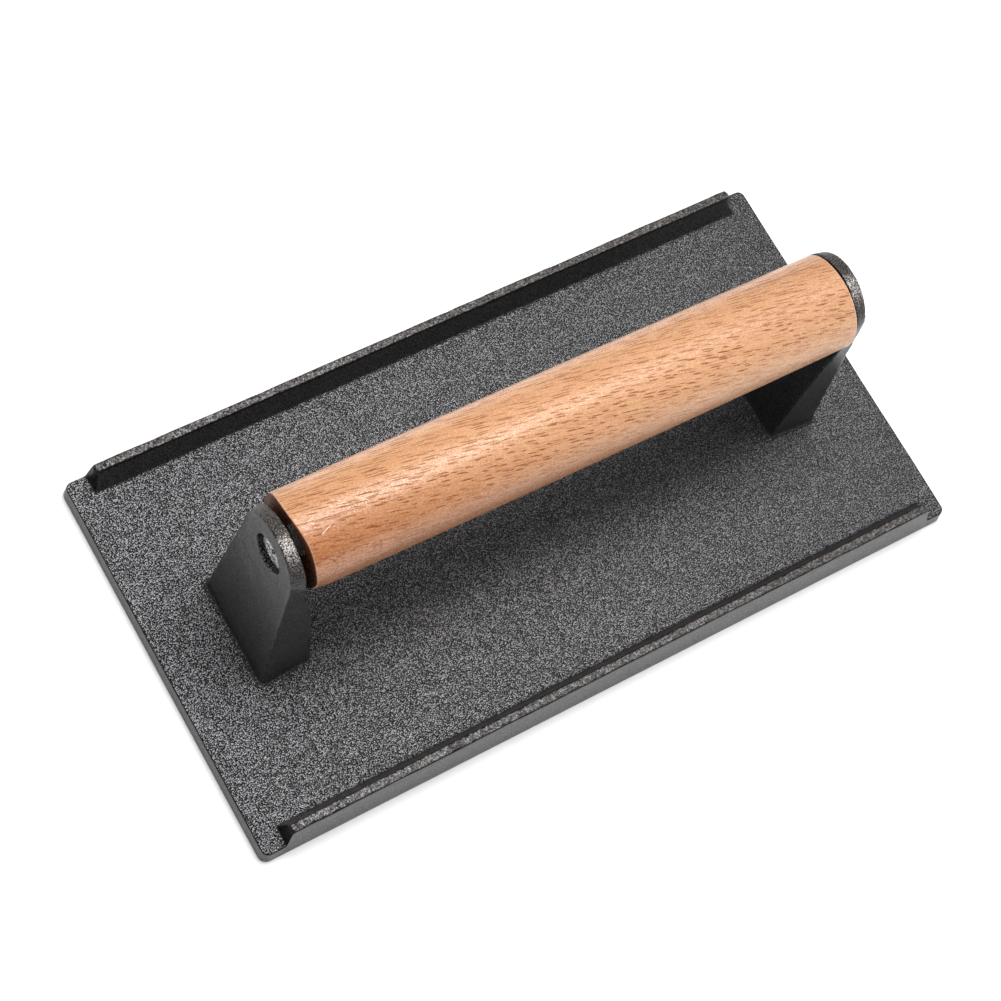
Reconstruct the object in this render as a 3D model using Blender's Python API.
"""Hand-held cast-iron patty press with a turned beech grip.

One iron casting (pressing plate, a lip along each long side, two tapering
posts) carries a steel rod between its posts.  A low-head screw goes through
each post into the tapped end of the rod, a thin washer sits between each post
and the rod, and the bored beech grip turns freely on the rod.

Frame: origin at the centre of the plate's underside, +X along the grip,
+Y across the plate, +Z up.  Dimensions are in millimetres and each object is
scaled to metres as it is made.  Places along X are distances from the middle.
"""
import bpy
import bmesh
from math import sin, cos, pi, sqrt, atan2, acos, radians
from mathutils import Vector

MM = 0.001
SMOOTH_ANGLE = 35        # edges sharper than this stay sharp, degrees

# (sign along the axis, name)
X_SIDES = ((-1, "left"), (1, "right"))
Y_SIDES = ((-1, "near"), (1, "far"))

# ---- plate ----
PLATE_LENGTH = 210.5     # at the underside
PLATE_WIDTH = 108.5      # at the underside
PLATE_THICKNESS = 5.0
PLATE_CORNER_R = 2.4     # corner radius in plan
PLATE_CORNER_STEPS = 5
PLATE_EDGE = 0.45        # rounding of the plate's edges
# Rounding of an edge, as shares of PLATE_EDGE: (distance from the face, inset)
PLATE_EDGE_STEPS = ((0.0, 0.7), (0.3, 0.2), (1.0, 0.0))
DRAFT = 0.115            # casting draft of the plate and lip sides, mm per mm

# ---- lips ----
LIP_BASE_Z = 1.5         # lip body starts inside the plate
LIP_HEIGHT = 7.6         # above the plate
LIP_TOP_WIDTH = 2.45
LIP_RUN = 3.25           # plan width of the inner slope, fillet included
LIP_EDGE = 0.45          # rounding of a lip's top edges
LIP_SIDE_INSET = 0.05    # keeps a lip's side a hair inside the plate's
LIP_SLOPE_OFFSET = 0.05  # start of the inner slope, in from the top's width
LIP_FILLET = 1.3         # fillet between the inner slope and the plate
LIP_FILLET_START = 18    # angle where the fillet leaves the slope, degrees
LIP_FILLET_STEPS = 4
LIP_FILLET_LIFT = 0.04   # fillet's lowest point above the plate
LIP_HALF_LENGTH = 98.5   # at the foot, without the flare
LIP_END_LEAN = 1.5       # inward lean of an end face over the lip's height
LIP_END_FLARE = 0.4      # extra length of an end at its foot
LIP_FLARE_FADE = 6       # the flare ends at this fraction (1/6) of the height

# ---- grip axis ----
AXIS_Z = 58.7
AXIS_ORIGIN = (0, 0, AXIS_Z)

# ---- posts ----
POST_BASE_Z = 1.8        # post body starts inside the plate
POST_X_FOOT = 85.0       # outer face at the plate
POST_X_TOP = 82.2        # outer face at the top of the post
# Outlines in the YZ plane: half width at the plate, then the radius and
# centre height of the rounded top
POST_OUTER = dict(half_base=14.8, radius=10.7, centre_z=58.2)
POST_INNER = dict(half_base=14.1, radius=11.9, centre_z=57.2)
POST_FILLET = 1.5        # fillet where a post meets the plate
POST_SIDE_LENGTH = 53.0  # nominal length of an outline's straight side
# Levels along the straight side, as fractions of it: through the fillet first
POST_STATIONS = [0.001] + [share * POST_FILLET / POST_SIDE_LENGTH for share in (0.12, 0.45, 1.0)]
POST_STATIONS += [0.12, 0.24, 0.36, 0.48, 0.60, 0.71, 0.81, 0.91, 1.0]
POST_ARC_STEPS = 11

WALL_X = 78.6            # inner face of a post beside the grip
WALL_X_FOOT = 70.9       # inner face of a post at the plate
WALL_BOW = 1.0           # bow of the inner face toward the middle
WALL_UPRIGHT_Z = AXIS_Z - 0.7    # the inner face is upright from here up

SEAT_R = 13.4            # round seat for the grip's end in the inner face
SEAT_X_START = 60.0
SEAT_X_FLOOR = WALL_X + 0.05
SEAT_SEGMENTS = 64

CBORE_R = 5.1            # counterbore in a post's outer face
CBORE_X = 80.0           # floor of the counterbore
CLEARANCE_R = 2.8        # clearance hole for an M5 screw
HOLE_X_START = 70.0      # ends of the hole's cutter
HOLE_X_END = 90.0
HOLE_SEGMENTS = 48

# ---- grip ----
GRIP_X_LEFT = -76.1      # the grip floats on the rod and sits to the right
GRIP_X_RIGHT = 77.5
GRIP_R = 12.5            # radius at the ends
GRIP_BARREL = 0.15       # extra radius at mid length
GRIP_BARREL_SPANS = 8
GRIP_ROUND = 1.3         # rounding of the grip's ends
GRIP_ROUND_STEPS = 4
GRIP_BORE_R = 4.45
GRIP_BORE_CHAMFER = 0.4
GRIP_SEGMENTS = 56

# ---- rod ----
ROD_X = 77.5             # half length
ROD_R = 4.0
ROD_CHAMFER = 0.5
TAP_R = 2.7              # hole for the screw's thread
TAP_DEPTH = 24.0
TAP_CONE = 1.3           # depth of the conical bottom
TAP_CHAMFER = 0.3
ROD_SEGMENTS = 32

# ---- washers ----
WASHER_X_IN = 77.8       # face toward the rod
WASHER_X_OUT = 78.3      # face toward the post
WASHER_R = 7.7
WASHER_HOLE_R = 2.75
WASHER_CHAMFER = 0.1
WASHER_SEGMENTS = 40

# ---- screws ----
SCREW_SEAT_X = 80.3      # underside of the head
SCREW_RIM_X = 81.35      # level the crown is measured from
SCREW_CROWN = 0.45       # height of the crown above that level
SCREW_CROWN_SHARE = 0.92     # share of the head's radius that is crowned
SCREW_CROWN_STEPS = 4
SCREW_RIM_DROP = 0.2     # drop of the head's outer edge below the rim level
SCREW_HEAD_R = 4.7
SCREW_SHANK_R = 2.4
SCREW_TIP_X = 60.0
SCREW_TIP_CHAMFER = 0.6
SCREW_SEGMENTS = 40
# Ends of the cross recess
RECESS_MOUTH = dict(x=SCREW_RIM_X + 1.0, arm=2.9, half=0.62)
RECESS_FLOOR = dict(x=SCREW_RIM_X - 1.4, arm=1.3, half=0.42)

# ---- materials ----
CAST_IRON = dict(color=(0.045, 0.045, 0.046), roughness=0.62, metallic=0.35)
BEECH = dict(color=(0.52, 0.28, 0.14), roughness=0.42, metallic=0.0)
ROD_STEEL = dict(color=(0.42, 0.42, 0.42), roughness=0.35, metallic=1.0)
SCREW_STEEL = dict(color=(0.55, 0.55, 0.56), roughness=0.30, metallic=1.0)
WASHER_STEEL = dict(color=(0.045, 0.044, 0.045), roughness=0.55, metallic=1.0)


# ---- scene and object helpers ----
def clear_scene():
    for ob in list(bpy.data.objects):
        bpy.data.objects.remove(ob, do_unlink=True)
    for group in (bpy.data.meshes, bpy.data.materials):
        for item in list(group):
            group.remove(item)


def make_material(name, color, roughness, metallic):
    mat = bpy.data.materials.new(name)
    mat.use_nodes = True
    bsdf = mat.node_tree.nodes["Principled BSDF"]
    bsdf.inputs["Base Color"].default_value = (*color, 1.0)
    bsdf.inputs["Roughness"].default_value = roughness
    bsdf.inputs["Metallic"].default_value = metallic
    mat.diffuse_color = (*color, 1.0)
    return mat


def add_object(name, bm, mat=None, origin=(0, 0, 0)):
    """Turn a bmesh drawn in world millimetres into an object whose origin is
    at the given world point (mm)."""
    origin = Vector(origin)
    for vert in bm.verts:
        vert.co = (vert.co - origin) * MM
    bmesh.ops.recalc_face_normals(bm, faces=bm.faces)
    mesh = bpy.data.meshes.new(name)
    bm.to_mesh(mesh)
    bm.free()
    if mat:
        mesh.materials.append(mat)
    mesh.shade_smooth()
    mesh.set_sharp_from_angle(angle=radians(SMOOTH_ANGLE))
    ob = bpy.data.objects.new(name, mesh)
    bpy.context.scene.collection.objects.link(ob)
    ob.location = origin * MM
    return ob


def add_boolean(target, operation, name, bm):
    """Make a hidden helper from bm and join it to, or cut it from, target."""
    helper = add_object(name, bm)
    helper.hide_render = True
    helper.display_type = 'WIRE'
    mod = target.modifiers.new(operation.lower() + "_" + name, 'BOOLEAN')
    mod.operation = operation
    mod.solver = 'EXACT'
    mod.object = helper


# ---- mesh helpers ----
def bridge(bm, ring_a, ring_b):
    """Join two closed rings of equal length with quads."""
    count = len(ring_a)
    for i in range(count):
        j = (i + 1) % count
        bm.faces.new((ring_a[i], ring_a[j], ring_b[j], ring_b[i]))


def loft(loops):
    """Skin loops of (x, y, z) points, equal in length, and cap both ends."""
    bm = bmesh.new()
    rings = [[bm.verts.new(point) for point in loop] for loop in loops]
    for ring_a, ring_b in zip(rings, rings[1:]):
        bridge(bm, ring_a, ring_b)
    bm.faces.new(list(reversed(rings[0])))
    bm.faces.new(rings[-1])
    return bm


def axis_circle(x, radius, segments):
    """Circle about the grip axis."""
    angles = [2 * pi * k / segments for k in range(segments)]
    return [(x, radius * sin(a), AXIS_Z + radius * cos(a)) for a in angles]


def revolve(profile, segments, side=1):
    """Revolve a closed (x, radius) profile about the grip axis; side = -1
    mirrors it in X.  A point of radius 0 becomes one vertex on the axis."""
    bm = bmesh.new()
    rings = []
    for x, radius in profile:
        if radius < 1e-9:
            points = [(side * x, 0.0, AXIS_Z)]
        else:
            points = axis_circle(side * x, radius, segments)
        rings.append([bm.verts.new(point) for point in points])
    for ring_a, ring_b in zip(rings, rings[1:] + rings[:1]):
        if len(ring_a) == len(ring_b) == 1:
            continue
        if len(ring_a) == len(ring_b):
            bridge(bm, ring_a, ring_b)
            continue
        for k in range(segments):
            m = (k + 1) % segments
            if len(ring_a) == 1:
                bm.faces.new((ring_a[0], ring_b[m], ring_b[k]))
            else:
                bm.faces.new((ring_a[k], ring_a[m], ring_b[0]))
    return bm


# ---- casting: plate ----
def rounded_rectangle(half_x, half_y, radius, z):
    points = []
    for sign_x, sign_y, start in ((1, 1, 0), (-1, 1, 90), (-1, -1, 180), (1, -1, 270)):
        centre_x = sign_x * (half_x - radius)
        centre_y = sign_y * (half_y - radius)
        for k in range(PLATE_CORNER_STEPS + 1):
            a = radians(start + 90.0 * k / PLATE_CORNER_STEPS)
            points.append((centre_x + radius * cos(a), centre_y + radius * sin(a), z))
    return points


def plate_mesh():
    edge = [(rise * PLATE_EDGE, inset * PLATE_EDGE) for rise, inset in PLATE_EDGE_STEPS]
    levels = edge + [(PLATE_THICKNESS - rise, inset) for rise, inset in reversed(edge)]
    loops = []
    for z, inset in levels:
        shrink = DRAFT * z + inset
        loops.append(rounded_rectangle(PLATE_LENGTH / 2 - shrink, PLATE_WIDTH / 2 - shrink,
                                       PLATE_CORNER_R - inset, z))
    return loft(loops)


# ---- casting: lips ----
def lip_section():
    """Lip's section as (distance in from the plate's side, height) points."""
    top = PLATE_THICKNESS + LIP_HEIGHT
    edge = LIP_EDGE
    outer_top = DRAFT * top
    inner_top = outer_top + LIP_TOP_WIDTH
    section = [
        # drafted outer side
        (DRAFT * LIP_BASE_Z + LIP_SIDE_INSET, LIP_BASE_Z),
        (DRAFT * (top - edge) + LIP_SIDE_INSET, top - edge),
        # top with both edges eased
        (outer_top + edge * 0.3, top - edge * 0.3),
        (outer_top + edge, top),
        (inner_top - edge, top),
        (inner_top - edge * 0.25, top - edge * 0.25),
        # start of the inner slope
        (inner_top + LIP_SLOPE_OFFSET, top - edge),
    ]
    # the slope runs straight to a fillet that turns level at the plate
    radius = LIP_FILLET
    fillet_start = inner_top + LIP_RUN - radius
    for k in range(LIP_FILLET_STEPS + 1):
        a = radians(LIP_FILLET_START + (90.0 - LIP_FILLET_START) * k / LIP_FILLET_STEPS)
        section.append((fillet_start + radius * (1 - cos(a)),
                        PLATE_THICKNESS + LIP_FILLET_LIFT + radius * (1 - sin(a))))
    section.append((fillet_start + radius, LIP_BASE_Z))
    return section


def lip_end_x(z):
    rise = max(0.0, (z - PLATE_THICKNESS) / LIP_HEIGHT)
    flare = LIP_END_FLARE * max(0.0, 1 - rise * LIP_FLARE_FADE) ** 2
    return LIP_HALF_LENGTH + flare - LIP_END_LEAN * rise


def lip_mesh(side):
    """The lip on the -Y or +Y side, its section spanned between leaning ends."""
    section = lip_section()
    return loft([[(end * lip_end_x(z), side * (PLATE_WIDTH / 2 - inset), z)
                  for inset, z in section] for end in (-1, 1)])


# ---- casting: posts ----
def fillet_flare(z):
    """Outward growth of a post where it meets the plate."""
    height = z - PLATE_THICKNESS
    radius = POST_FILLET
    if height >= radius:
        return 0.0
    height = max(height, 0.0)
    return radius - sqrt(max(0.0, radius * radius - (radius - height) ** 2))


def post_outline(half_base, radius, centre_z):
    """The +Y half of a post's outline, as (y, z) points from foot to crown: a
    straight side from the plate, tangent to the rounded top."""
    foot_dz = PLATE_THICKNESS - centre_z
    foot_distance = sqrt(half_base * half_base + foot_dz * foot_dz)
    tangent = atan2(foot_dz, half_base) + acos(radius / foot_distance)
    tangent_y = radius * cos(tangent)
    tangent_z = centre_z + radius * sin(tangent)
    points = []
    for t in POST_STATIONS:
        z = PLATE_THICKNESS + t * (tangent_z - PLATE_THICKNESS)
        y = half_base + (tangent_y - half_base) * t
        points.append((y + fillet_flare(z), z))
    for k in range(1, POST_ARC_STEPS + 1):
        a = tangent + (pi / 2 - tangent) * k / POST_ARC_STEPS
        points.append((radius * cos(a), centre_z + radius * sin(a)))
    return points


def outer_x(z):
    """Outer face: it leans toward the middle as it rises."""
    top = POST_OUTER["centre_z"] + POST_OUTER["radius"]
    t = (z - PLATE_THICKNESS) / (top - PLATE_THICKNESS)
    return POST_X_FOOT + (POST_X_TOP - POST_X_FOOT) * t + fillet_flare(z)


def inner_x(z):
    """Inner face: from the plate it leans away from the middle with a slight
    bow, then stands upright from just below the grip axis."""
    t = (z - PLATE_THICKNESS) / (WALL_UPRIGHT_Z - PLATE_THICKNESS)
    t = min(1.0, max(0.0, t))
    return WALL_X_FOOT + (WALL_X - WALL_X_FOOT) * t - WALL_BOW * sin(pi * t) - fillet_flare(z)


def post_mesh(side):
    """A post as strips between its outer and inner outlines."""
    levels = []
    for (yo, zo), (yi, zi) in zip(post_outline(**POST_OUTER), post_outline(**POST_INNER)):
        xo = side * outer_x(zo)
        xi = side * inner_x(zi)
        levels.append([(xo, yo, zo), (xi, yi, zi), (xi, -yi, zi), (xo, -yo, zo)])
    foot = [(x, y, POST_BASE_Z) for x, y, z in levels[0]]
    # the outlines close at the crown, leaving one outer and one inner point
    crown = [(x, 0.0, z) for x, y, z in levels[-1][:2]]

    bm = bmesh.new()
    rings = [[bm.verts.new(point) for point in level] for level in [foot, *levels[:-1], crown]]
    bm.faces.new(list(reversed(rings[0])))
    for ring_a, ring_b in zip(rings[:-1], rings[1:-1]):
        bridge(bm, ring_a, ring_b)
    last = rings[-2]
    crown_out, crown_in = rings[-1]
    bm.faces.new((last[0], last[1], crown_in, crown_out))
    bm.faces.new((last[1], last[2], crown_in))
    bm.faces.new((last[2], last[3], crown_out, crown_in))
    bm.faces.new((last[3], last[0], crown_out))
    bmesh.ops.triangulate(bm, faces=[face for face in bm.faces if len(face.verts) == 4])
    return bm


def grip_seat_mesh(side):
    """Spot face about the grip axis: it clears the grip's end where the
    leaning inner face would come too close."""
    return loft([axis_circle(side * x, SEAT_R, SEAT_SEGMENTS)
                 for x in (SEAT_X_START, SEAT_X_FLOOR)])


def counterbore_mesh(side):
    """Clearance hole and counterbore for a screw."""
    profile = [(HOLE_X_START, 0.0), (HOLE_X_START, CLEARANCE_R), (CBORE_X, CLEARANCE_R),
               (CBORE_X, CBORE_R), (HOLE_X_END, CBORE_R), (HOLE_X_END, 0.0)]
    return revolve(profile, HOLE_SEGMENTS, side)


def add_casting():
    iron = make_material("seasoned_cast_iron", **CAST_IRON)
    casting = add_object("press_casting", plate_mesh(), iron)
    for side, tag in Y_SIDES:
        add_boolean(casting, 'UNION', "lip_body_" + tag, lip_mesh(side))
    for side, tag in X_SIDES:
        add_boolean(casting, 'UNION', "post_body_" + tag, post_mesh(side))
    for side, tag in X_SIDES:
        add_boolean(casting, 'DIFFERENCE', "grip_seat_cut_" + tag, grip_seat_mesh(side))
        add_boolean(casting, 'DIFFERENCE', "counterbore_cut_" + tag, counterbore_mesh(side))


# ---- turned and small parts ----
def grip_mesh():
    """A slight barrel with rounded ends, bored through."""
    mid = (GRIP_X_LEFT + GRIP_X_RIGHT) / 2
    half = (GRIP_X_RIGHT - GRIP_X_LEFT) / 2
    left_end = []
    for k in range(GRIP_ROUND_STEPS, -1, -1):
        a = radians(90.0 * k / GRIP_ROUND_STEPS)
        left_end.append((mid - half + GRIP_ROUND * (1 - sin(a)),
                         GRIP_R - GRIP_ROUND * (1 - cos(a))))
    barrel = []
    for k in range(1, GRIP_BARREL_SPANS):
        t = -1 + 2.0 * k / GRIP_BARREL_SPANS
        barrel.append((mid + t * (half - GRIP_ROUND), GRIP_R + GRIP_BARREL * (1 - t * t)))
    right_end = [(2 * mid - x, radius) for x, radius in reversed(left_end)]
    chamfer = GRIP_BORE_CHAMFER
    bore = [(mid + half, GRIP_BORE_R + chamfer), (mid + half - chamfer, GRIP_BORE_R),
            (mid - half + chamfer, GRIP_BORE_R), (mid - half, GRIP_BORE_R + chamfer)]
    return revolve(left_end + barrel + right_end + bore, GRIP_SEGMENTS)


def add_grip():
    """The grip hangs from an empty on its axis."""
    axis = bpy.data.objects.new("grip_axis", None)
    axis.location = (0.0, 0.0, AXIS_Z * MM)
    axis.empty_display_size = 0.02
    bpy.context.scene.collection.objects.link(axis)
    beech = make_material("oiled_beech", **BEECH)
    grip = add_object("wooden_grip", grip_mesh(), beech, AXIS_ORIGIN)
    grip.parent = axis
    grip.location = (0, 0, 0)


def add_rod():
    """Chamfered rod with a tapped hole in each end."""
    tap_end = ROD_X - TAP_DEPTH
    half = [(tap_end - TAP_CONE, 0.0), (tap_end, TAP_R),
            (ROD_X - TAP_CHAMFER, TAP_R), (ROD_X, TAP_R + TAP_CHAMFER),
            (ROD_X, ROD_R - ROD_CHAMFER), (ROD_X - ROD_CHAMFER, ROD_R)]
    profile = [(-x, radius) for x, radius in half] + half[::-1]
    steel = make_material("rod_steel", **ROD_STEEL)
    add_object("handle_rod", revolve(profile, ROD_SEGMENTS), steel, AXIS_ORIGIN)


def add_washer(side, tag):
    chamfer = WASHER_CHAMFER
    profile = [(WASHER_X_IN, WASHER_HOLE_R), (WASHER_X_OUT, WASHER_HOLE_R),
               (WASHER_X_OUT, WASHER_R - chamfer), (WASHER_X_OUT - chamfer, WASHER_R),
               (WASHER_X_IN + chamfer, WASHER_R), (WASHER_X_IN, WASHER_R - chamfer)]
    steel = make_material("washer_steel_" + tag, **WASHER_STEEL)
    add_object("washer_" + tag, revolve(profile, WASHER_SEGMENTS, side), steel, AXIS_ORIGIN)


def screw_mesh(side):
    """Low cylinder head with a slight crown, plain shank, chamfered tip."""
    profile = []
    for k in range(SCREW_CROWN_STEPS + 1):
        share = SCREW_CROWN_SHARE * k / SCREW_CROWN_STEPS
        profile.append((SCREW_RIM_X + SCREW_CROWN * (1 - share ** 2), SCREW_HEAD_R * share))
    profile += [(SCREW_RIM_X - SCREW_RIM_DROP, SCREW_HEAD_R), (SCREW_SEAT_X, SCREW_HEAD_R),
                (SCREW_SEAT_X, SCREW_SHANK_R), (SCREW_TIP_X + SCREW_TIP_CHAMFER, SCREW_SHANK_R),
                (SCREW_TIP_X, SCREW_SHANK_R - SCREW_TIP_CHAMFER), (SCREW_TIP_X, 0.0)]
    return revolve(profile, SCREW_SEGMENTS, side)


def cross_loop(side, x, arm, half):
    """Cross about the grip axis: arm is its reach, half its arms' half width."""
    points = [(arm, half), (half, half), (half, arm), (-half, arm), (-half, half), (-arm, half),
              (-arm, -half), (-half, -half), (-half, -arm), (half, -arm), (half, -half),
              (arm, -half)]
    return [(side * x, y, AXIS_Z + z) for y, z in points]


def add_screw(side, tag):
    """A screw with a tapered cross recess reaching into the top of its shank."""
    steel = make_material("screw_steel_" + tag, **SCREW_STEEL)
    screw = add_object("screw_" + tag, screw_mesh(side), steel, AXIS_ORIGIN)
    recess = loft([cross_loop(side, **RECESS_MOUTH), cross_loop(side, **RECESS_FLOOR)])
    add_boolean(screw, 'DIFFERENCE', "cross_recess_" + tag, recess)


def build():
    clear_scene()
    add_casting()
    add_grip()
    add_rod()
    for side, tag in X_SIDES:
        add_washer(side, tag)
        add_screw(side, tag)


build()
